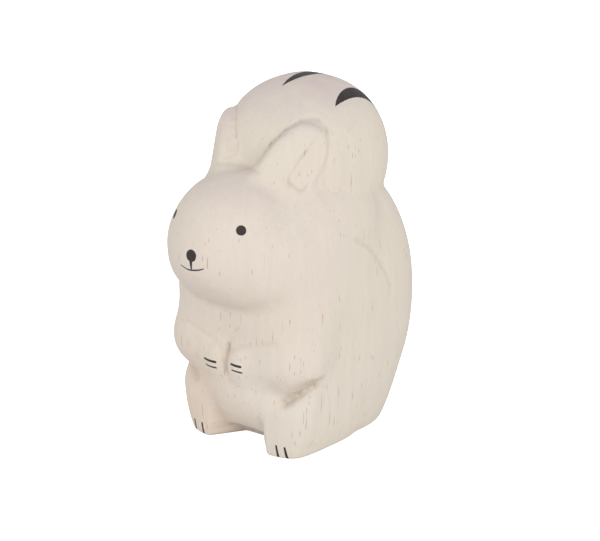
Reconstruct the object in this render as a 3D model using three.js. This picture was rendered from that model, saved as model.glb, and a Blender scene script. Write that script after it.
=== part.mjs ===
import * as THREE from 'three';
import { mergeVertices } from 'three/addons/utils/BufferGeometryUtils.js';

// A carved and painted wooden squirrel that sits up with its tail laid over its back and head.
// Millimetres, +Z up. The squirrel looks along -Y, its left side is +X, and it stands on z = 0.
// Its two sides are alike, so every form is worked out for the left side and mirrored.

// Driving sizes
const height = 70; // from the ground to the top of the tail
const width = 34; // across the flanks; the elbows stand out a little further
const depth = 54.4; // from the nose to the rump
const footGap = 12.4; // width of the recess between the feet
const footGapDepth = 7.2; // how far that recess goes back from the front of the feet
const footGapHeight = 3; // how high its arched end rises under the belly
const thighGroove = 2.6; // how far the belly lies behind the elbows and knees
const earLift = 2.4; // how far the ears stand off the tail
const earHollow = 1.0; // how deep the ears are scooped out
const edgeRound = 0.8; // how far the edge of the underside is rounded off

// How soft the valleys between the forms are
const crisp = 0.7;
const soft = 1.6;
const mellow = 2.5;
const blended = 3.5;

// Fineness of the surface: columns go round the figure, rings go up it
const columns = 80;
const rings = 60;
const frontFocus = 0.25; // draws the columns closer together in front, where the carving is

// Where the forms lie, in shares of the width, the depth and the height
const at = ( across, along, up ) => [ across * width, along * depth, up * height ];

// A rounded lump like a river pebble: two is an ellipse, and more is squarer, in its plan and its profile
function lump( centre, radii, plan = 2, profile = 2 ) {

	return ( x, y, z ) => {

		const px = Math.abs( x - centre[ 0 ] ) / radii[ 0 ];
		const py = Math.abs( y - centre[ 1 ] ) / radii[ 1 ];
		const pz = Math.abs( z - centre[ 2 ] ) / radii[ 2 ];
		const flat = ( px ** plan + py ** plan ) ** ( 1 / plan );
		const full = ( flat ** profile + pz ** profile ) ** ( 1 / profile );
		const reach = Math.hypot( px, py, pz );
		const slope = Math.hypot( px / radii[ 0 ], py / radii[ 1 ], pz / radii[ 2 ] ) + 1e-9;
		return ( full - 1 ) * reach / slope;

	};

}

// A limb: a round bar between two points, with its own radius at each end
function limb( start, end, startRadius, endRadius ) {

	const line = new THREE.Line3( new THREE.Vector3( ...start ), new THREE.Vector3( ...end ) );
	const point = new THREE.Vector3();
	const nearest = new THREE.Vector3();
	return ( x, y, z ) => {

		point.set( x, y, z );
		const share = line.closestPointToPointParameter( point, true );
		line.at( share, nearest );
		return point.distanceTo( nearest ) - THREE.MathUtils.lerp( startRadius, endRadius, share );

	};

}

// A form that is turned: its own third direction lies along thirdWay, and its second as near secondWay as can be
function turned( form, middle, thirdWay, secondWay ) {

	const third = new THREE.Vector3( ...thirdWay ).normalize();
	const second = new THREE.Vector3( ...secondWay );
	second.addScaledVector( third, - third.dot( second ) ).normalize();
	const first = new THREE.Vector3().crossVectors( third, second );
	const point = new THREE.Vector3();
	const from = new THREE.Vector3( ...middle );
	return ( x, y, z ) => {

		point.set( x, y, z ).sub( from );
		return form( point.dot( first ), point.dot( second ), point.dot( third ) );

	};

}

// Joins two forms and fills the valley between them
function join( first, second, fill ) {

	return ( x, y, z ) => {

		const a = first( x, y, z );
		const b = second( x, y, z );
		const share = THREE.MathUtils.clamp( 0.5 + 0.5 * ( b - a ) / fill, 0, 1 );
		return b * ( 1 - share ) + a * share - fill * share * ( 1 - share );

	};

}

// Takes one form away from another and rounds the edge that this leaves
function carve( form, tool, round ) {

	const inside = ( x, y, z ) => - form( x, y, z );
	const joined = join( inside, tool, round );
	return ( x, y, z ) => - joined( x, y, z );

}

// The back and rump: the widest form, from the ground to behind the head, cut off flat in front
function back() {

	const form = lump( at( 0, 0.1393, 0.364 ), at( 0.5, 0.4287, 0.435 ), 3.2, 2.1 );
	const inFront = ( x, y ) => y + 0.1851 * depth;
	return carve( form, inFront, blended );

}

// The seat widens the back where it meets the ground
function seat() {

	return lump( at( 0, 0.1832, 0.229 ), at( 0.465, 0.3049, 0.343 ), 2.7, 2.4 );

}

// The tail: its round end lies over the head and shoulders
function tail() {

	return lump( at( 0, 0.1695, 0.772 ), at( 0.432, 0.2923, 0.228 ), 2.5, 2.1 );

}

// The chest, cut off flat below the arms
function chest() {

	const form = lump( at( 0, 0.0185, 0.443 ), at( 0.491, 0.2728, 0.243 ), 4, 2.6 );
	const below = ( x, y, z ) => z - 0.226 * height;
	return carve( form, below, soft );

}

// The round belly between the thighs
function belly() {

	const radii = [ 0.47 * width - thighGroove, 0.2553 * depth, 0.2 * height ];
	return lump( at( 0, 0.0097, 0.207 ), radii, 2.2, 2.1 );

}

// Thighs and feet: a block that is flat in front, sloped on top and open between the feet
const footFront = - 0.2026 * depth;

function legs() {

	const knee = 0.157 * height;
	const rise = 0.85;
	const steep = Math.hypot( 1, rise );
	const block = lump( at( 0, 0, 0.2 ), at( 0.474, 0.2757, 0.314 ), 3.8, 2.6 );
	const beyond = ( x, y ) => y - footFront;
	const above = ( x, y, z ) => ( knee + rise * ( y - footFront ) - z ) / steep;
	const between = ( x, y ) => Math.max( Math.abs( x ) - footGap / 2, y - footFront - footGapDepth );
	const sloped = carve( carve( block, beyond, blended ), above, mellow );
	return carve( sloped, between, soft );

}

// The arched end of the recess between the feet, under the belly
function footRecess() {

	return lump( [ 0, footFront, 0 ], [ footGap / 2, footGapDepth, footGapHeight ], 4, 2.4 );

}

// The head: broad cheeks, a round face and a short muzzle
function head() {

	const cheeks = lump( at( 0, - 0.0828, 0.553 ), at( 0.476, 0.2845, 0.157 ), 2.5, 2.3 );
	const face = lump( at( 0, - 0.1656, 0.621 ), at( 0.368, 0.2465, 0.163 ) );
	const muzzle = lump( at( 0, - 0.2689, 0.571 ), at( 0.25, 0.153, 0.091 ) );
	return join( join( cheeks, face, blended ), muzzle, blended );

}

// The neck and shoulders carry the head over into the flanks
function shoulders() {

	return lump( at( 0, 0.0663, 0.571 ), at( 0.494, 0.2757, 0.236 ), 3, 2.4 );

}

// An arm: from the shoulder down to the elbow, and forward to the hand on the belly
function arm() {

	const shoulder = at( 0.3, - 0.0555, 0.4 );
	const elbow = at( 0.316, - 0.1267, 0.285 );
	const hand = at( 0.087, - 0.1958, 0.262 );
	const thick = 0.186 * width;
	const wrist = 0.118 * width;
	return join( limb( shoulder, elbow, thick, thick ), limb( elbow, hand, thick, wrist ), soft );

}

// The ears lean out and back against the tail
const earMiddle = at( 0.28, - 0.0507, 0.812 );
const earUp = [ 0.31, 0.55, 0.78 ];
const earOut = [ 0.68, - 0.7, 0.22 ];
const earThick = 1.2;

function ear() {

	const radii = [ 0.165 * width, 0.146 * height, earThick + earLift ];
	const leaf = lump( [ 0.034 * width, - 0.043 * height, - earThick ], radii, 2.3, 3.6 );
	return turned( leaf, earMiddle, earOut, earUp );

}

// The scoop that hollows out the outer side of an ear
function earScoop() {

	const radius = 3.2;
	const radii = [ 0.104 * width, 0.089 * height, radius ];
	const bowl = lump( [ - 0.053 * width, - 0.006 * height, earLift + radius - earHollow ], radii, 2.1, 2 );
	return turned( bowl, earMiddle, earOut, earUp );

}

// The whole figure as one distance: below zero is wood
function carving() {

	const upper = join( head(), shoulders(), mellow );
	const eared = join( upper, ear(), soft );
	const bust = join( eared, chest(), soft );
	const tailed = join( bust, tail(), crisp );
	const seated = join( join( tailed, back(), soft ), seat(), soft );
	const lower = join( legs(), belly(), soft );
	const limbed = join( join( seated, lower, crisp ), arm(), mellow );
	const scooped = carve( limbed, earScoop(), crisp );
	const footed = carve( scooped, footRecess(), soft );
	const ground = ( x, y, z ) => z;
	const whole = carve( footed, ground, edgeRound );
	return ( x, y, z ) => whole( Math.abs( x ), y, z );

}

// Goes in along a ray until it meets wood, and returns how far out from the ray's start that is
function meet( form, start, direction, reach ) {

	const point = new THREE.Vector3();
	const distance = ( out ) => {

		point.copy( start ).addScaledVector( direction, out );
		return form( point.x, point.y, point.z );

	};

	const leastStep = 0.004 * reach;
	let wood = reach;
	let air = reach;
	let gap = distance( wood );
	while ( gap > 0 && wood > leastStep ) {

		air = wood;
		wood -= Math.max( leastStep, 0.5 * gap );
		gap = distance( wood );

	}

	for ( let pass = 0; pass < 20; pass ++ ) {

		const middle = ( wood + air ) / 2;
		if ( distance( middle ) > 0 ) air = middle;
		else wood = middle;

	}

	return wood;

}

// Rays leave an upright axis inside the figure: level at the ground, and tilting upward ring by ring
const axisAlong = 0.1101 * depth;
const axisTop = 0.514 * height;
const reach = Math.max( width, depth, height );

function ringRay( ring ) {

	const climb = ring / rings;
	return { start: axisTop * climb * ( 2 - climb ), tilt: Math.PI / 2 * climb ** 2 };

}

// A closed cocoon around the figure, turned on that axis and everywhere one reach away from it
function cocoon() {

	const profile = [ new THREE.Vector2( 0, 0 ) ];
	for ( let ring = 0; ring <= rings; ring ++ ) {

		const { start, tilt } = ringRay( ring );
		profile.push( new THREE.Vector2( reach * Math.cos( tilt ), start + reach * Math.sin( tilt ) ) );

	}

	const geometry = new THREE.LatheGeometry( profile, columns );
	geometry.deleteAttribute( 'normal' );
	geometry.deleteAttribute( 'uv' );
	return geometry.rotateX( Math.PI / 2 );

}

// The cocoon's corners are drawn in along their rays until they lie on the carving
function squirrelGeometry() {

	const geometry = cocoon();
	const form = carving();
	const corners = geometry.attributes.position;
	const start = new THREE.Vector3();
	const direction = new THREE.Vector3();
	for ( let corner = 0; corner < corners.count; corner ++ ) {

		const ring = corner % ( rings + 2 ) - 1;
		if ( ring < 0 ) {

			corners.setXYZ( corner, 0, axisAlong, 0 );
			continue;

		}

		const ray = ringRay( ring );
		const even = Math.atan2( corners.getX( corner ), - corners.getY( corner ) );
		const turn = even - frontFocus * Math.sin( even );
		start.set( 0, axisAlong, ray.start );
		direction.setFromSphericalCoords( 1, Math.PI / 2 - ray.tilt, turn );
		direction.set( direction.x, - direction.z, direction.y );
		const out = meet( form, start, direction, reach );
		start.addScaledVector( direction, out );
		corners.setXYZ( corner, start.x, start.y, start.z );

	}

	const merged = mergeVertices( geometry );
	merged.computeVertexNormals();
	merged.computeBoundingBox();
	return merged;

}

// Pale, matt, unvarnished softwood
function paleWood() {

	return new THREE.MeshStandardMaterial( { color: 0xe2d5c2, roughness: 0.72, metalness: 0 } );

}

// One solid, stood so that its box is centred over the origin
function squirrel() {

	const geometry = squirrelGeometry();
	const mesh = new THREE.Mesh( geometry, paleWood() );
	mesh.name = 'squirrel';
	const box = geometry.boundingBox;
	mesh.position.y = - ( box.min.y + box.max.y ) / 2;
	return mesh;

}

const figurine = new THREE.Group();
figurine.name = 'wooden_squirrel_figurine';
figurine.add( squirrel() );

export default figurine;
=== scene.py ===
import math

import bpy
import numpy as np
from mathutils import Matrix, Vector


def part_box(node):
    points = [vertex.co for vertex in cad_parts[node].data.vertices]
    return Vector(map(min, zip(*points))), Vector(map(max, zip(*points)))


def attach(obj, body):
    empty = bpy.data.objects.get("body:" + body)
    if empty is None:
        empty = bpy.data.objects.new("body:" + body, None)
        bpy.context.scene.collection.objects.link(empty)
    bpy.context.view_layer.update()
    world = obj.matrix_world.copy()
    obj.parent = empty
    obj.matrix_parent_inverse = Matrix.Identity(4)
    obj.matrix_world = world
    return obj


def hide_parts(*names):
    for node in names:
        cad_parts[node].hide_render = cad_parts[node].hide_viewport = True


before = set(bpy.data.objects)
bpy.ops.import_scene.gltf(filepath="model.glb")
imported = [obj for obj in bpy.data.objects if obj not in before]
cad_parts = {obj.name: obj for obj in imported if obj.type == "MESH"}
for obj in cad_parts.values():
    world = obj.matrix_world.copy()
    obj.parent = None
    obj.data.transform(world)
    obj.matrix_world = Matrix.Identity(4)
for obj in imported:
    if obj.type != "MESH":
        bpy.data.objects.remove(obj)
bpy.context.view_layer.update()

# A carved and painted wooden squirrel. The carving is worked out in millimetres from the same
# named sizes as the solid, with the knife's finer lines added, and is then put into metres.
MM = 0.001

# Driving sizes
height = 70.0
width = 34.0
depth = 54.4
foot_gap = 12.4
foot_gap_depth = 7.2
foot_gap_height = 3.0
thigh_groove = 2.6
ear_lift = 2.4
ear_hollow = 1.0
edge_round = 0.8
foot_front = -0.2026 * depth

# How soft the valleys between the forms are
crisp = 0.7
soft = 1.6
mellow = 2.5
blended = 3.5

# Fineness of the surface: columns go round the figure, closest in front, and rings go up it
columns = 340
rings = 280
front_focus = 0.4


# Shapes as distances: below zero is wood

# A place or a size given as shares of the width, the depth and the height
def at(across, along, up):
    return (across * width, along * depth, up * height)


def lump(centre, radii, plan=2.0, profile=2.0):
    def distance(x, y, z):
        px = np.abs(x - centre[0]) / radii[0]
        py = np.abs(y - centre[1]) / radii[1]
        pz = np.abs(z - centre[2]) / radii[2]
        flat = (px ** plan + py ** plan) ** (1 / plan)
        full = (flat ** profile + pz ** profile) ** (1 / profile)
        reach = np.sqrt(px ** 2 + py ** 2 + pz ** 2)
        slope = np.sqrt((px / radii[0]) ** 2 + (py / radii[1]) ** 2 + (pz / radii[2]) ** 2)
        return (full - 1) * reach / (slope + 1e-9)
    return distance


def limb(start, end, start_radius, end_radius):
    start = np.array(start, float)
    line = np.array(end, float) - start
    length_squared = np.dot(line, line)

    def distance(x, y, z):
        dx, dy, dz = x - start[0], y - start[1], z - start[2]
        share = (dx * line[0] + dy * line[1] + dz * line[2]) / length_squared
        share = np.clip(share, 0, 1)
        dx, dy, dz = dx - share * line[0], dy - share * line[1], dz - share * line[2]
        radius = start_radius + share * (end_radius - start_radius)
        return np.sqrt(dx * dx + dy * dy + dz * dz) - radius
    return distance


# The form on its own axes: the third and second ways are given, the first is square to both
def turned(form, middle, third_way, second_way):
    third = np.array(third_way, float)
    third /= np.linalg.norm(third)
    second = np.array(second_way, float)
    second -= third * np.dot(third, second)
    second /= np.linalg.norm(second)
    first = np.cross(third, second)

    def distance(x, y, z):
        dx, dy, dz = x - middle[0], y - middle[1], z - middle[2]
        own = [dx * way[0] + dy * way[1] + dz * way[2] for way in (first, second, third)]
        return form(*own)
    return distance


def join(first, second, fill):
    def distance(x, y, z):
        a, b = first(x, y, z), second(x, y, z)
        share = np.clip(0.5 + 0.5 * (b - a) / fill, 0, 1)
        return b * (1 - share) + a * share - fill * share * (1 - share)
    return distance


# Takes away the wood where the tool's distance is below zero
def carve(form, tool, rounding):
    joined = join(lambda x, y, z: -form(x, y, z), tool, rounding)
    return lambda x, y, z: -joined(x, y, z)


# The figure's forms

def back():
    form = lump(at(0, 0.1393, 0.364), at(0.5, 0.4287, 0.435), 3.2, 2.1)
    return carve(form, lambda x, y, z: y + 0.1851 * depth, blended)


def seat():
    return lump(at(0, 0.1832, 0.229), at(0.465, 0.3049, 0.343), 2.7, 2.4)


def tail():
    return lump(at(0, 0.1695, 0.772), at(0.432, 0.2923, 0.228), 2.5, 2.1)


def chest():
    form = lump(at(0, 0.0185, 0.443), at(0.491, 0.2728, 0.243), 4, 2.6)
    return carve(form, lambda x, y, z: z - 0.226 * height, soft)


def belly():
    radii = (0.47 * width - thigh_groove, 0.2553 * depth, 0.2 * height)
    return lump(at(0, 0.0097, 0.207), radii, 2.2, 2.1)


def legs():
    knee = 0.157 * height
    rise = 0.85
    steep = math.hypot(1, rise)
    block = lump(at(0, 0, 0.2), at(0.474, 0.2757, 0.314), 3.8, 2.6)

    def beyond(x, y, z):
        return y - foot_front

    def above(x, y, z):
        return (knee + rise * (y - foot_front) - z) / steep

    def between(x, y, z):
        return np.maximum(np.abs(x) - foot_gap / 2, y - foot_front - foot_gap_depth)

    sloped = carve(carve(block, beyond, blended), above, mellow)
    return carve(sloped, between, soft)


def foot_recess():
    radii = (foot_gap / 2, foot_gap_depth, foot_gap_height)
    return lump((0, foot_front, 0), radii, 4, 2.4)


def head():
    cheeks = lump(at(0, -0.0828, 0.553), at(0.476, 0.2845, 0.157), 2.5, 2.3)
    face = lump(at(0, -0.1656, 0.621), at(0.368, 0.2465, 0.163))
    muzzle = lump(at(0, -0.2689, 0.571), at(0.25, 0.153, 0.091))
    return join(join(cheeks, face, blended), muzzle, blended)


def shoulders():
    return lump(at(0, 0.0663, 0.571), at(0.494, 0.2757, 0.236), 3, 2.4)


def arm():
    shoulder = at(0.3, -0.0555, 0.4)
    elbow = at(0.316, -0.1267, 0.285)
    hand = at(0.087, -0.1958, 0.262)
    thick = 0.186 * width
    wrist = 0.118 * width
    return join(limb(shoulder, elbow, thick, thick), limb(elbow, hand, thick, wrist), soft)


# The ear's own axes: out from its face, up to its tip, and across towards the other ear
ear_middle = at(0.28, -0.0507, 0.812)
ear_up = (0.31, 0.55, 0.78)
ear_out = (0.68, -0.7, 0.22)
ear_thick = 1.2


def ear():
    radii = (0.165 * width, 0.146 * height, ear_thick + ear_lift)
    leaf = lump((0.034 * width, -0.043 * height, -ear_thick), radii, 2.3, 3.6)
    return turned(leaf, ear_middle, ear_out, ear_up)


def ear_scoop():
    radius = 3.2
    radii = (0.104 * width, 0.089 * height, radius)
    middle = (-0.053 * width, -0.006 * height, ear_lift + radius - ear_hollow)
    return turned(lump(middle, radii, 2.1, 2), ear_middle, ear_out, ear_up)


def whole_figure():
    upper = join(head(), shoulders(), mellow)
    eared = join(upper, ear(), soft)
    bust = join(eared, chest(), soft)
    tailed = join(bust, tail(), crisp)
    seated = join(join(tailed, back(), soft), seat(), soft)
    lower = join(legs(), belly(), soft)
    limbed = join(join(seated, lower, crisp), arm(), mellow)
    scooped = carve(limbed, ear_scoop(), crisp)
    return carve(scooped, foot_recess(), soft)


# The knife's finer lines

# Slow waves through the wood, between minus one and one
def uneven(x, y, z, pace):
    a = np.sin(x / pace + 1.3 * np.sin(z / pace * 0.8 + 0.4) + 0.6)
    b = np.sin(y / pace * 1.1 + 1.1 * np.sin(x / pace * 0.9 + 2.0) + 1.9)
    c = np.sin(z / pace * 0.7 + 1.2 * np.sin(y / pace * 1.2 + 0.7) + 3.1)
    return (a + b + c) / 3


# A line through the points, as the distance from it
def path(points):
    pieces = [limb(start, end, 0, 0) for start, end in zip(points, points[1:])]

    def distance(x, y, z):
        nearest = pieces[0](x, y, z)
        for piece in pieces[1:]:
            nearest = np.minimum(nearest, piece(x, y, z))
        return nearest
    return distance


# A line drawn on the figure as it is seen from the front, by places across and up
def seen_from_front(*places):
    guide = path([(across, 0, up) for across, up in places])
    return lambda x, y, z: guide(x, 0, z)


# A line drawn on the figure as it is seen from the side, by places along and up
def seen_from_side(*places):
    guide = path([(0, along, up) for along, up in places])
    return lambda x, y, z: guide(0, y, z)


# A line cut by hand is ragged: narrower and shallower in some places than in others
def ragged(guide, wear, pace):
    return lambda x, y, z: guide(x, y, z) + wear * (1 + uneven(x, y, z, pace))


# An egg-shaped outline on a plane: two is an ellipse, more is squarer, and it may lean over
def outline(middle, radii, power=2.0, lean=0.0):
    egg = lump((*middle, 0), (*radii, 1), power)

    def distance(across, up):
        return np.abs(egg(across - lean * (up - middle[1]), up, 0))
    return distance


# An outline that is left open on its outer rear side, past the edge
def open_behind(guide, edge):
    fading = 3
    return lambda across, up: guide(across, up) + fading * np.maximum(edge - across, 0)


# The ear's lines are drawn on the ear's own plane, and fade off where the wood leaves it
def on_ear(guide, lift, thick):
    def near(x, y, z):
        off = np.maximum(np.abs(z - lift) - thick, 0)
        return np.sqrt(guide(x, y) ** 2 + off ** 2)
    return turned(near, ear_middle, ear_out, ear_up)


# Rises from none at one place to all at another
def ramp(value, none_at, all_at):
    return np.clip((value - none_at) / (all_at - none_at), 0, 1)


# Where each line runs. Without such a limit a line would also press the wood behind it.

# The line round the ear is deepest over the top, and is worn at its foot and behind the ear
def over_ear(x, y, z):
    behind = ramp(x, 11.0, 12.5) * ramp(z, 61.5, 59.5)
    return ramp(z, 54.6, 58.6) * (1 - 0.55 * behind)


def outside_ear(x, y, z):
    return ramp(x, 7.5, 9.0) * ramp(y, 0.5, -0.5) * ramp(z, 61.8, 60.3)


def beside_ear(x, y, z):
    return ramp(x, 11.0, 13.0)


def top_of_head(x, y, z):
    return ramp(y, -5.5, -7.5)


def on_front(x, y, z):
    return ramp(y, -7.0, -9.0)


def ahead_of_flank(x, y, z):
    return ramp(y, -3.5, -6.0)


def on_flank(x, y, z):
    return ramp(y, 3.0, 5.0) * ramp(z, 26.5, 29.5)


ear_edge = outline((0.4, -4.4), (6.0, 12.5), 1.9, 0.1)
ear_rim = ragged(on_ear(ear_edge, -0.2, 1.3), 0.17, 0.33)
hollow_edge = open_behind(outline((-1.4, 1.3), (2.1, 5.9), 4.5), -3.2)
hollow_rim = ragged(on_ear(hollow_edge, 2.0, 0.9), 0.14, 0.45)
brow = seen_from_front((0, 55), (2, 55.4), (3.4, 55.6), (5.2, 55.4))
hand_crevice = seen_from_front((0, 16.2), (0.2, 19), (0, 21.4))
arm_top = seen_from_front((0.3, 20.2), (2.6, 21.8), (4.9, 22.5), (8, 23.4), (11.5, 24.3))
thigh_line = seen_from_front((11.3, 11.4), (13.8, 13.9), (15.4, 15.4), (16.2, 16.1))
ear_valley = seen_from_side((-0.9, 54.5), (-0.3, 48.0), (1.2, 43.7))
haunch = outline((2.5, 29.3), (12.7, 12.9), 1.6, -0.1)


def flank_crease(x, y, z):
    return haunch(y, z)


# Each cut is a line with its half width, its depth and where it runs
cuts = [
    (ear_rim, 0.38, 0.42, over_ear),
    (hollow_rim, 0.36, 0.28, outside_ear),
    (ragged(brow, 0.15, 1.3), 0.35, 0.15, top_of_head),
    (hand_crevice, 0.4, 0.4, on_front),
    (arm_top, 0.7, 0.12, on_front),
    (thigh_line, 0.85, 0.6, ahead_of_flank),
    (ragged(flank_crease, 0.15, 2.0), 0.6, 0.33, on_flank),
    (ear_valley, 1.6, 0.2, beside_ear),
]

# Each line of dirt and painted shade has its half width, its most darkening, where it runs, and the
# share of that darkening on the right side, which holds less. The darkening is partly brown dirt
# rubbed into the groove and partly painted shade in it.
dirt_and_shade_lines = [
    (ear_rim, 0.32, 0.34, over_ear, 0.15),
    (hollow_rim, 0.3, 0.36, outside_ear, 0.4),
    (brow, 0.35, 0.18, top_of_head, 1),
    (hand_crevice, 0.8, 0.27, on_front, 1),
    (arm_top, 0.5, 0.12, on_front, 1),
    (thigh_line, 0.85, 0.5, ahead_of_flank, 0.25),
    (flank_crease, 0.5, 0.14, on_flank, 1),
]

# The whole surface goes in and out a little, and lies a little inside the solid's
wave = 0.07
wave_pace = 4.2
set_in = 0.05


def pressed(form, guide, half_width, sunk, where):
    def distance(x, y, z):
        line = np.exp(-(guide(x, y, z) / half_width) ** 2)
        return form(x, y, z) + sunk * line * where(x, y, z)
    return distance


def carving():
    lined = whole_figure()
    for guide, half_width, sunk, where in cuts:
        lined = pressed(lined, guide, half_width, sunk, where)

    def worked(x, y, z):
        return lined(np.abs(x), y, z) + wave * uneven(x, y, z, wave_pace) + set_in
    return carve(worked, lambda x, y, z: z, edge_round)


# How much brown dirt and painted shade the lines hold at each place, from none at zero to most at
# one
def carved_dirt_and_shade(x, y, z):
    side = np.abs(x)
    dirt_and_shade = 0 * x
    for guide, half_width, most, where, right_share in dirt_and_shade_lines:
        near = np.exp(-(guide(side, y, z) / half_width) ** 2)
        share = np.where(x > 0, 1, right_share)
        dirt_and_shade = np.maximum(dirt_and_shade, most * near * share * where(side, y, z))
    return dirt_and_shade


# The surface: rays leave an upright axis inside the figure and stop where they meet the carving

axis_along = 0.1101 * depth
axis_top = 0.514 * height


def ring_rays():
    climb = np.arange(rings + 1)[:, None] / rings
    even = np.arange(columns)[None, :] / columns * 2 * math.pi
    turn = even - front_focus * np.sin(even)
    tilt = math.pi / 2 * climb ** 2 + 0 * turn
    start = axis_top * climb * (2 - climb) + 0 * turn
    direction = np.stack([
        np.cos(tilt) * np.sin(turn),
        -np.cos(tilt) * np.cos(turn),
        np.sin(tilt),
    ])
    return start.ravel(), direction.reshape(3, -1)


# Each ray steps inward until it is in the wood, and the last step is then halved many times.
# The distances are rough, so a step goes only part of the gap.
def meet(form, start, direction, reach):
    least_step = 0.004 * reach
    step_share = 0.5
    halvings = 12

    def point(out, rays):
        x, y, z = direction[:, rays] * out
        return x, y + axis_along, z + start[rays]

    wood = np.full(start.shape, float(reach))
    air = wood.copy()
    going = np.arange(len(start))
    while len(going):
        gap = form(*point(wood[going], going))
        more = (gap > 0) & (wood[going] > least_step)
        going, gap = going[more], gap[more]
        air[going] = wood[going]
        wood[going] -= np.maximum(least_step, step_share * gap)
    every = np.arange(len(start))
    for halving in range(halvings):
        middle = (wood + air) / 2
        outside = form(*point(middle, every)) > 0
        air = np.where(outside, middle, air)
        wood = np.where(outside, wood, middle)
    return np.stack(point(wood, every), axis=1)


def surface_points():
    start, direction = ring_rays()
    met = meet(carving(), start, direction, max(width, depth, height))
    met[:columns, 2] = 0
    met[-columns:] = met[-columns:].mean(axis=0)
    return met


def surface_faces():
    ring = np.arange(rings - 1)[:, None] * columns
    here = np.arange(columns)[None, :]
    after = (here + 1) % columns
    above = ring + columns
    quads = np.stack([ring + here, ring + after, above + after, above + here], -1)
    faces = [tuple(quad) for quad in quads.reshape(-1, 4).tolist()]
    last = (rings - 1) * columns
    top = rings * columns
    under = top + 1
    for column in range(columns):
        beside = (column + 1) % columns
        faces.append((last + column, last + beside, top))
        faces.append((beside, column, under))
    return faces


# The solid stands with its box centred over the origin, and the fine surface stands the same way

low, high = [np.array(corner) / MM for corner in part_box("squirrel")]
points = surface_points()
shift = (low[1] + high[1]) / 2 - (points[:, 1].min() + points[:, 1].max()) / 2


def squirrel_mesh():
    placed = np.clip(points + [0, shift, 0], low, high)
    under = [[0, axis_along + shift, 0]]
    corners = np.concatenate([placed[:rings * columns], placed[-1:], under])
    mesh = bpy.data.meshes.new("squirrel_fine")
    mesh.from_pydata((corners * MM).tolist(), [], surface_faces())
    # The darkening of the carved lines, brown dirt and painted shade in the grooves, is kept on the
    # points
    dirt_and_shade = carved_dirt_and_shade(*(corners - [0, shift, 0]).T)
    carved = mesh.attributes.new("carved_line", "FLOAT", "POINT")
    carved.data.foreach_set("value", dirt_and_shade.astype(np.float32))
    mesh.shade_smooth()
    return mesh


# Shader helpers

def new_node(tree, kind, **settings):
    node = tree.nodes.new(kind)
    for name, value in settings.items():
        setattr(node, name, value)
    return node


def feed(tree, node, socket, source):
    if hasattr(source, "node"):
        tree.links.new(source, node.inputs[socket])
    else:
        node.inputs[socket].default_value = source


def maths(tree, operation, first, second=None, third=None, clamp=False):
    node = new_node(tree, "ShaderNodeMath", operation=operation, use_clamp=clamp)
    for index, source in enumerate((first, second, third)):
        if source is not None:
            feed(tree, node, index, source)
    return node.outputs[0]


def vector_maths(tree, operation, first, second=None, scale=None):
    node = new_node(tree, "ShaderNodeVectorMath", operation=operation)
    feed(tree, node, 0, first)
    if second is not None:
        feed(tree, node, 1, second)
    if scale is not None:
        feed(tree, node, "Scale", scale)
    name = "Value" if operation in ("LENGTH", "DISTANCE", "DOT_PRODUCT") else "Vector"
    return node.outputs[name]


# The X, Y and Z of a vector
def axes(tree, vector):
    node = new_node(tree, "ShaderNodeSeparateXYZ")
    feed(tree, node, 0, vector)
    return node.outputs


# A vector from its X, Y and Z
def gathered(tree, *sources):
    node = new_node(tree, "ShaderNodeCombineXYZ")
    for index, source in enumerate(sources):
        feed(tree, node, index, source)
    return node.outputs[0]


def spread(tree, value, low, high, to_low=0.0, to_high=1.0, smooth=False):
    node = new_node(tree, "ShaderNodeMapRange", clamp=True)
    if smooth:
        node.interpolation_type = "SMOOTHSTEP"
    feed(tree, node, "Value", value)
    node.inputs["From Min"].default_value = low
    node.inputs["From Max"].default_value = high
    node.inputs["To Min"].default_value = to_low
    node.inputs["To Max"].default_value = to_high
    return node.outputs["Result"]


def noise(tree, place, scale, detail=2.0, rough=0.5, output="Fac"):
    node = new_node(tree, "ShaderNodeTexNoise")
    feed(tree, node, "Vector", place)
    node.inputs["Scale"].default_value = scale
    node.inputs["Detail"].default_value = detail
    node.inputs["Roughness"].default_value = rough
    return node.outputs[output]


# A place for patterns that are drawn out along the grain, the more the smaller the share
def drawn_out(tree, place, share):
    return vector_maths(tree, "MULTIPLY", place, (1, 1, share))


# The mix node has sockets for every kind of value, and these are the ones for colours
first_colour = 6
second_colour = 7
mixed_colour = 2


def blend(tree, share, first, second):
    node = new_node(tree, "ShaderNodeMix", data_type="RGBA")
    feed(tree, node, "Factor", share)
    for index, source in ((first_colour, first), (second_colour, second)):
        if hasattr(source, "node"):
            tree.links.new(source, node.inputs[index])
        else:
            node.inputs[index].default_value = (*source, 1)
    return node.outputs[mixed_colour]


def group(name, inputs, outputs):
    tree = bpy.data.node_groups.new(name, "ShaderNodeTree")
    for title, kind, value in inputs:
        socket = tree.interface.new_socket(title, in_out="INPUT", socket_type="NodeSocket" + kind)
        socket.default_value = value
    for title, kind in outputs:
        tree.interface.new_socket(title, in_out="OUTPUT", socket_type="NodeSocket" + kind)
    entry = tree.nodes.new("NodeGroupInput")
    leave = tree.nodes.new("NodeGroupOutput")
    return tree, entry.outputs, leave.inputs


def use(tree, inner, **sources):
    node = new_node(tree, "ShaderNodeGroup", node_tree=inner)
    for name, source in sources.items():
        feed(tree, node, name.replace("_", " "), source)
    return node.outputs[0]


# Long vessels run up the wood: dashes on its sides, dots on its top

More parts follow.
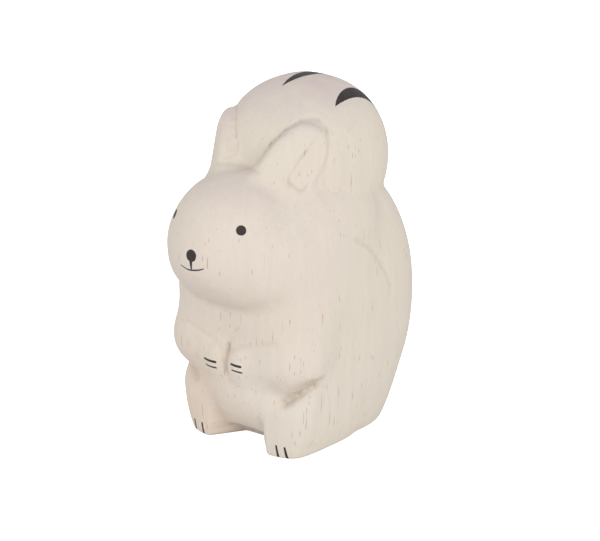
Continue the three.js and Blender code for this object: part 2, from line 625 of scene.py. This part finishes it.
def vessel_group():
    inputs = [
        ("Place", "Vector", (0, 0, 0)),
        ("Spacing", "Float", 1.1),
        ("Radius", "Float", 0.14),
        ("Amount", "Float", 0.5),
        ("Run", "Float", 3.0),
        ("Shift", "Float", 0.0),
    ]
    tree, given, out = group("Wood vessels", inputs, [("Mask", "Float")])
    fineness = maths(tree, "DIVIDE", 1, given["Spacing"])
    scaled = vector_maths(tree, "SCALE", given["Place"], scale=fineness)
    aside = vector_maths(tree, "SCALE", (7.1, 3.3, 0), scale=given["Shift"])
    moved = vector_maths(tree, "ADD", scaled, aside)
    cells = new_node(tree, "ShaderNodeTexVoronoi", voronoi_dimensions="2D", feature="F1")
    tree.links.new(moved, cells.inputs["Vector"])
    cells.inputs["Scale"].default_value = 1
    near = maths(tree, "MULTIPLY", cells.outputs["Distance"], given["Spacing"])
    chance = new_node(tree, "ShaderNodeSeparateColor")
    tree.links.new(cells.outputs["Color"], chance.inputs[0])
    # A vessel opens here and there along its run, so each one is broken into dashes
    along = maths(tree, "DIVIDE", axes(tree, given["Place"])["Z"], given["Run"])
    own_start = maths(tree, "MULTIPLY_ADD", chance.outputs["Green"], 37.0, along)
    own_line = maths(tree, "MULTIPLY", chance.outputs["Blue"], 11.0)
    opening = noise(tree, gathered(tree, own_start, 0.37, own_line), 1.0, 1.0)
    size = spread(tree, opening, 0.4, 0.61)
    present = maths(tree, "LESS_THAN", chance.outputs["Red"], given["Amount"])
    radius = maths(tree, "MULTIPLY", maths(tree, "MULTIPLY", given["Radius"], size), present)
    inward = maths(tree, "DIVIDE", maths(tree, "SUBTRACT", radius, near), given["Radius"])
    tree.links.new(spread(tree, inward, 0.0, 0.7, smooth=True), out["Mask"])
    return tree


# A stroke of a fine brush, as a distance in millimetres

def stroke_group():
    inputs = [
        ("Place", "Vector", (0, 0, 0)),
        ("Start", "Vector", (0, 0, 0)),
        ("End", "Vector", (0, 0, 1)),
        ("Start Radius", "Float", 0.2),
        ("End Radius", "Float", 0.2),
    ]
    tree, given, out = group("Brush stroke", inputs, [("Distance", "Float")])
    line = vector_maths(tree, "SUBTRACT", given["End"], given["Start"])
    rest = vector_maths(tree, "SUBTRACT", given["Place"], given["Start"])
    long = vector_maths(tree, "DOT_PRODUCT", line, line)
    run = vector_maths(tree, "DOT_PRODUCT", rest, line)
    share = maths(tree, "DIVIDE", run, long, clamp=True)
    nearest = vector_maths(tree, "SCALE", line, scale=share)
    far = vector_maths(tree, "DISTANCE", rest, nearest)
    grown = maths(tree, "SUBTRACT", given["End Radius"], given["Start Radius"])
    radius = maths(tree, "MULTIPLY_ADD", grown, share, given["Start Radius"])
    tree.links.new(maths(tree, "SUBTRACT", far, radius), out["Distance"])
    return tree


# A dab of the brush: an egg, as a distance in shares of its radii

def dab_group():
    inputs = [
        ("Place", "Vector", (0, 0, 0)),
        ("Middle", "Vector", (0, 0, 0)),
        ("Radii", "Vector", (1, 1, 1)),
    ]
    tree, given, out = group("Brush dab", inputs, [("Distance", "Float")])
    rest = vector_maths(tree, "SUBTRACT", given["Place"], given["Middle"])
    full = vector_maths(tree, "LENGTH", vector_maths(tree, "DIVIDE", rest, given["Radii"]))
    tree.links.new(maths(tree, "SUBTRACT", full, 1.0), out["Distance"])
    return tree


# A tapered stripe laid over the round top of the tail, from front to back. First and Last are
# its ends in degrees over the top, and Splay is how far its ends lie outside its middle.

def stripe_group():
    inputs = [
        ("Place", "Vector", (0, 0, 0)),
        ("Half Width", "Float", 1.25),
        ("Line", "Float", 0.0),
        ("Splay", "Float", 0.0),
        ("First", "Float", -22.0),
        ("Last", "Float", 79.0),
    ]
    tree, given, out = group("Tail stripe", inputs, [("Distance", "Float")])
    axis = axes(tree, given["Place"])
    side = maths(tree, "ABSOLUTE", axis["X"])
    angle = maths(tree, "ARCTAN2", axis["Y"], axis["Z"])
    degrees = maths(tree, "MULTIPLY", angle, 180 / math.pi)
    run = maths(tree, "SUBTRACT", given["Last"], given["First"])
    done = maths(tree, "SUBTRACT", degrees, given["First"])
    share = maths(tree, "DIVIDE", done, run, clamp=True)
    swell = maths(tree, "SINE", maths(tree, "MULTIPLY", share, math.pi))
    plump = maths(tree, "POWER", maths(tree, "MAXIMUM", swell, 0), 0.8)
    half = maths(tree, "MULTIPLY_ADD", given["Half Width"], plump, -0.1)
    bow = maths(tree, "MULTIPLY_ADD", share, 2.0, -1.0)
    bowed = maths(tree, "MULTIPLY", bow, bow)
    centre = maths(tree, "MULTIPLY_ADD", bowed, given["Splay"], given["Line"])
    off = maths(tree, "ABSOLUTE", maths(tree, "SUBTRACT", side, centre))
    tree.links.new(maths(tree, "SUBTRACT", off, half), out["Distance"])
    return tree


def least(tree, distances):
    nearest = distances[0]
    for distance in distances[1:]:
        nearest = maths(tree, "MINIMUM", nearest, distance)
    return nearest


# The painted marks, in millimetres on the figure

eye_middle = (8.2, -18.4, 46.95)
eye_radius = 0.95
nose_middle = (0.25, 0, 41.7)
nose_radii = (1.2, 1, 1.15)
tail_round_middle = (0, 9.0, 54.2)
front_marks_end = -4.0

# Each stroke has its start and end, by places across and up, and its radius at both
mouth = [
    ((0.25, 41.0), (0.2, 38.95), 0.4, 0.15),
    ((0.2, 38.85), (-0.8, 38.8), 0.16, 0.15),
    ((-0.8, 38.8), (-2.7, 39.25), 0.15, 0.08),
    ((0.2, 38.85), (1.9, 39.2), 0.16, 0.15),
    ((1.9, 39.2), (3.0, 39.65), 0.15, 0.08),
]
fingers = [
    ((2.0, 18.5), (4.2, 18.4), 0.23, 0.24),
    ((2.2, 17.35), (4.4, 17.2), 0.16, 0.17),
    ((-2.0, 17.95), (-5.1, 17.9), 0.24, 0.23),
    ((-2.0, 16.75), (-4.9, 16.7), 0.17, 0.16),
]
claws = [
    ((9.8, 2.7), (10.0, 0.6), 0.21, 0.27),
    ((11.6, 2.65), (11.75, 0.5), 0.21, 0.27),
    ((-9.1, 2.6), (-8.9, 0.5), 0.21, 0.27),
    ((-11.3, 2.7), (-11.2, 0.8), 0.21, 0.25),
]


def front_marks(tree, place, dab):
    stroke = stroke_group()
    flat = vector_maths(tree, "MULTIPLY", place, (1, 0, 1))
    marks = [use(tree, dab, Place=flat, Middle=nose_middle, Radii=nose_radii)]
    for start, end, first, last in mouth + fingers + claws:
        ends = {"Start": (start[0], 0, start[1]), "End": (end[0], 0, end[1])}
        marks.append(use(tree, stroke, Place=flat, Start_Radius=first, End_Radius=last, **ends))
    behind = maths(tree, "SUBTRACT", axes(tree, place)["Y"], front_marks_end)
    return maths(tree, "MAXIMUM", least(tree, marks), behind)


def eyes(tree, place, dab):
    axis = axes(tree, place)
    mirrored = gathered(tree, maths(tree, "ABSOLUTE", axis["X"]), axis["Y"], axis["Z"])
    return use(tree, dab, Place=mirrored, Middle=eye_middle, Radii=(eye_radius,) * 3)


def tail_stripes(tree, place):
    stripe = stripe_group()
    over = vector_maths(tree, "SUBTRACT", place, tail_round_middle)
    middle = use(tree, stripe, Place=over, Half_Width=1.9, First=-24.0)
    sides = use(tree, stripe, Place=over, Half_Width=1.25, Line=8.4, Splay=1.8, First=-15.0)
    return [middle, sides]


def paint_distance(tree, place):
    dab = dab_group()
    front = front_marks(tree, place, dab)
    return least(tree, [front, eyes(tree, place, dab), *tail_stripes(tree, place)])


# The wood

cream_wood = (0.775, 0.712, 0.603)
pink_wood = (0.797, 0.698, 0.62)
tan_wood = (0.78, 0.63, 0.49)
pale_wood = (0.81, 0.76, 0.68)
mottled_wood = (0.75, 0.675, 0.575)
streaked_wood = (0.72, 0.63, 0.52)
# Rosy end-grain colour, which also paints the shade on the tops
rosy_end_grain_and_top_shade = (0.71, 0.605, 0.572)
fine_pore = (0.5, 0.36, 0.25)
large_pore = (0.5, 0.31, 0.17)
# Brown dirt in the carved lines, which also stands for painted shade in the grooves
groove_dirt_and_shade = (0.36, 0.265, 0.17)
black_paint = (0.026, 0.021, 0.02)
worn_paint = (0.045, 0.035, 0.03)


# Millimetres on the figure, before it was moved over the origin
def figure_place(tree):
    metres = new_node(tree, "ShaderNodeTexCoord").outputs["Object"]
    millimetres = vector_maths(tree, "SCALE", metres, scale=1 / MM)
    return vector_maths(tree, "SUBTRACT", millimetres, (0, shift, 0))


# The grain leans and wanders a little as it runs up the figure
def grain_place(tree, place):
    wander = noise(tree, place, 0.09, 2.0, output="Color")
    centred = vector_maths(tree, "SUBTRACT", wander, (0.5, 0.5, 0.5))
    lean = vector_maths(tree, "SCALE", centred, scale=1.1)
    return vector_maths(tree, "ADD", place, lean)


# Large pores in patches, and fine ones all over
def pores(tree, place, grain):
    vessels = vessel_group()
    patches = noise(tree, drawn_out(tree, place, 0.55), 0.085, 2.0)
    crowd = spread(tree, patches, 0.38, 0.62, 0.22, 0.92)
    large = use(tree, vessels, Place=grain, Spacing=0.68, Radius=0.138, Amount=crowd, Run=4.2)
    fine = use(tree, vessels, Place=grain, Spacing=0.5, Radius=0.09, Amount=0.6, Run=1.8, Shift=3.0)
    return large, fine


# How squarely the surface cuts across the grain, which runs up
def grain_cut(tree):
    normal = new_node(tree, "ShaderNodeNewGeometry").outputs["Normal"]
    return maths(tree, "ABSOLUTE", axes(tree, normal)["Z"])


# Cream to pink in slow zones, pinker in front and creamier low on the left, with one tan foot
# and one pale foot
def plain_wood(tree, place):
    axis = axes(tree, place)
    zones = noise(tree, drawn_out(tree, place, 0.5), 0.05, 1.5)
    ahead = spread(tree, axis["Y"], 4.0, -15.0, -0.09, 0.09)
    on_left = spread(tree, axis["X"], -7.0, 4.0)
    low_down = spread(tree, axis["Z"], 38.0, 14.0, 0.0, -0.24)
    leaning = maths(tree, "MULTIPLY_ADD", on_left, low_down, ahead)
    warmth = spread(tree, maths(tree, "ADD", zones, leaning), 0.36, 0.64)
    body = blend(tree, warmth, cream_wood, pink_wood)
    feet = blend(tree, on_left, tan_wood, pale_wood)
    return blend(tree, spread(tree, axis["Z"], 25.0, 11.0, 0.0, 0.45), body, feet)


# Mottling and upright streaks, and a rosy, darker tint in patches where the grain is cut across,
# most on the top of the tail: partly the end grain's own colour and partly painted shade on the
# tops
def figured_wood(tree, place, grain, cut):
    mottle = noise(tree, drawn_out(tree, place, 0.4), 0.24, 3.0, 0.6)
    mottle_share = spread(tree, mottle, 0.42, 0.68, 0.0, 0.4)
    mottled = blend(tree, mottle_share, plain_wood(tree, place), mottled_wood)
    streaks = noise(tree, drawn_out(tree, grain, 0.045), 0.75, 3.0, 0.6)
    streaked = blend(tree, spread(tree, streaks, 0.35, 0.72, 0.0, 0.36), mottled, streaked_wood)
    # Faces that lie level: the end grain, where the tops also get painted shade
    level_faces = spread(tree, cut, 0.42, 0.97, smooth=True)
    tail_top = spread(tree, axes(tree, place)["Z"], 52.0, 62.0, 0.42, 0.8)
    rosy_patches = spread(tree, mottle, 0.38, 0.62, 0.45, 1.15)
    rosy_and_top_shade_most = maths(tree, "MULTIPLY", level_faces, tail_top)
    return blend(tree, maths(tree, "MULTIPLY", rosy_and_top_shade_most, rosy_patches), streaked, rosy_end_grain_and_top_shade)


# Pores are brown, and fainter where the grain is cut across
def pored_wood(tree, wood, large, fine, cut):
    cut_across = spread(tree, cut, 0.1, 0.6)
    fine_depth = maths(tree, "MULTIPLY_ADD", cut_across, -0.16, 0.28)
    fined = blend(tree, maths(tree, "MULTIPLY", fine, fine_depth), wood, fine_pore)
    large_depth = maths(tree, "MULTIPLY_ADD", cut_across, -0.48, 0.58)
    return blend(tree, maths(tree, "MULTIPLY", large, large_depth), fined, large_pore)


# Carved lines keep a little brown dirt, rubbed in unevenly, and the same darkening paints the shade
# in the grooves
def dirt_and_shade_wood(tree, place, wood):
    carved = new_node(tree, "ShaderNodeAttribute", attribute_name="carved_line").outputs["Fac"]
    patchy = spread(tree, noise(tree, place, 0.8, 3.0, 0.6), 0.3, 0.62, 0.2, 1.0)
    return blend(tree, maths(tree, "MULTIPLY", carved, patchy), wood, groove_dirt_and_shade)


# Where there is paint, with the edge that a brush leaves
def paint_cover(tree, place):
    edge = maths(tree, "MULTIPLY_ADD", noise(tree, place, 1.6, 2.0), 0.12, -0.06)
    distance = maths(tree, "ADD", paint_distance(tree, place), edge)
    return spread(tree, distance, -0.05, 0.05, 1.0, 0.0, smooth=True)


def paint_colour(tree, place):
    wear = spread(tree, noise(tree, place, 0.9, 3.0), 0.4, 0.7)
    return blend(tree, wear, black_paint, worn_paint)


# Relief: open pores, raised fibres and slight ripples of the knife
def relief(tree, place, fuzz, large, fine):
    ripple = maths(tree, "MULTIPLY", noise(tree, place, 0.45, 2.0), 0.08)
    fibres = maths(tree, "MULTIPLY_ADD", fuzz, 0.02, ripple)
    pitted = maths(tree, "MULTIPLY_ADD", large, -0.06, fibres)
    finely_pitted = maths(tree, "MULTIPLY_ADD", fine, -0.015, pitted)
    bump = new_node(tree, "ShaderNodeBump")
    bump.inputs["Strength"].default_value = 0.8
    bump.inputs["Distance"].default_value = MM
    tree.links.new(finely_pitted, bump.inputs["Height"])
    return bump.outputs["Normal"]


def wood_material():
    material = bpy.data.materials.new("Painted pale wood")
    material.use_nodes = True
    tree = material.node_tree
    shader = tree.nodes["Principled BSDF"]
    place = figure_place(tree)
    grain = grain_place(tree, place)
    large, fine = pores(tree, place, grain)
    cut = grain_cut(tree)

    figured = figured_wood(tree, place, grain, cut)
    pored = pored_wood(tree, figured, large, fine, cut)
    # The carved lines darkened: brown dirt and painted shade in the grooves
    dirtied_and_shaded = dirt_and_shade_wood(tree, place, pored)
    cover = paint_cover(tree, place)
    colour = blend(tree, cover, dirtied_and_shaded, paint_colour(tree, place))
    tree.links.new(colour, shader.inputs["Base Color"])

    fuzz = noise(tree, drawn_out(tree, grain, 0.12), 5.5, 3.0, 0.65)
    rough_wood = spread(tree, fuzz, 0.3, 0.7, 0.68, 0.8)
    roughness = maths(tree, "MULTIPLY_ADD", cover, -0.22, rough_wood)
    tree.links.new(roughness, shader.inputs["Roughness"])
    shader.inputs["Specular IOR Level"].default_value = 0.35
    tree.links.new(relief(tree, place, fuzz, large, fine), shader.inputs["Normal"])
    return material


def placed_in_scene(name, data):
    piece = bpy.data.objects.new(name, data)
    bpy.context.scene.collection.objects.link(piece)
    return piece


def squirrel():
    mesh = squirrel_mesh()
    mesh.materials.append(wood_material())
    piece = placed_in_scene("squirrel_fine", mesh)
    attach(piece, "root")
    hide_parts("squirrel")


# Surroundings

def floor_material():
    material = bpy.data.materials.new("White paper")
    material.use_nodes = True
    tree = material.node_tree
    shader = tree.nodes["Principled BSDF"]
    shader.inputs["Base Color"].default_value = (0.87, 0.86, 0.85, 1)
    shader.inputs["Roughness"].default_value = 0.9
    shader.inputs["Emission Color"].default_value = (1, 1, 1, 1)
    seen = new_node(tree, "ShaderNodeLightPath").outputs["Is Camera Ray"]
    tree.links.new(seen, shader.inputs["Emission Strength"])
    return material


# The floor lies a hair below the figure and reaches far beyond it
def floor():
    half = 15.0
    drop = 0.1 * MM
    corners = [(-half, -half), (half, -half), (half, half), (-half, half)]
    mesh = bpy.data.meshes.new("floor")
    mesh.from_pydata([(x, y, -drop) for x, y in corners], [], [(0, 1, 2, 3)])
    mesh.materials.append(floor_material())
    placed_in_scene("floor", mesh)


lamp_size = 0.5
lamp_aim = (0, 0, 0.033)


def lamp(name, place, power, tint):
    data = bpy.data.lights.new(name, "AREA")
    data.shape = "DISK"
    data.size = lamp_size
    data.energy = power
    data.color = tint
    piece = placed_in_scene(name, data)
    piece.location = place
    aim = Vector(lamp_aim) - Vector(place)
    piece.rotation_euler = aim.to_track_quat("-Z", "Y").to_euler()


def light():
    world = bpy.data.worlds.new("Soft studio")
    world.use_nodes = True
    background = world.node_tree.nodes["Background"]
    background.inputs["Color"].default_value = (0.985, 0.99, 1.02, 1)
    background.inputs["Strength"].default_value = 0.69
    bpy.context.scene.world = world
    lamp("key", place=(0.62, -0.3, 0.25), power=1.66, tint=(1.0, 0.99, 0.97))
    lamp("fill", place=(-0.35, -0.5, 0.15), power=0.66, tint=(1.0, 0.99, 0.98))


# The view of the photograph: the focal length is given in pixels of its 600 pixel width
def camera():
    azimuth = math.radians(40)
    elevation = math.radians(18)
    distance = 0.45
    focal_pixels = 2349
    photo_width = 600
    sensor_width = 36
    target = Vector((3.95 * MM, (3.31 + shift) * MM, 33.0 * MM))
    away = Vector((
        math.cos(elevation) * math.sin(azimuth),
        -math.cos(elevation) * math.cos(azimuth),
        math.sin(elevation),
    ))
    data = bpy.data.cameras.new("camera")
    data.sensor_width = sensor_width
    data.lens = sensor_width * focal_pixels / photo_width
    data.clip_start = 0.01
    piece = placed_in_scene("camera", data)
    piece.location = target + distance * away
    piece.rotation_euler = (-away).to_track_quat("-Z", "Y").to_euler()
    bpy.context.scene.camera = piece


squirrel()
floor()
light()
camera()
bpy.context.scene.view_settings.view_transform = "Standard"
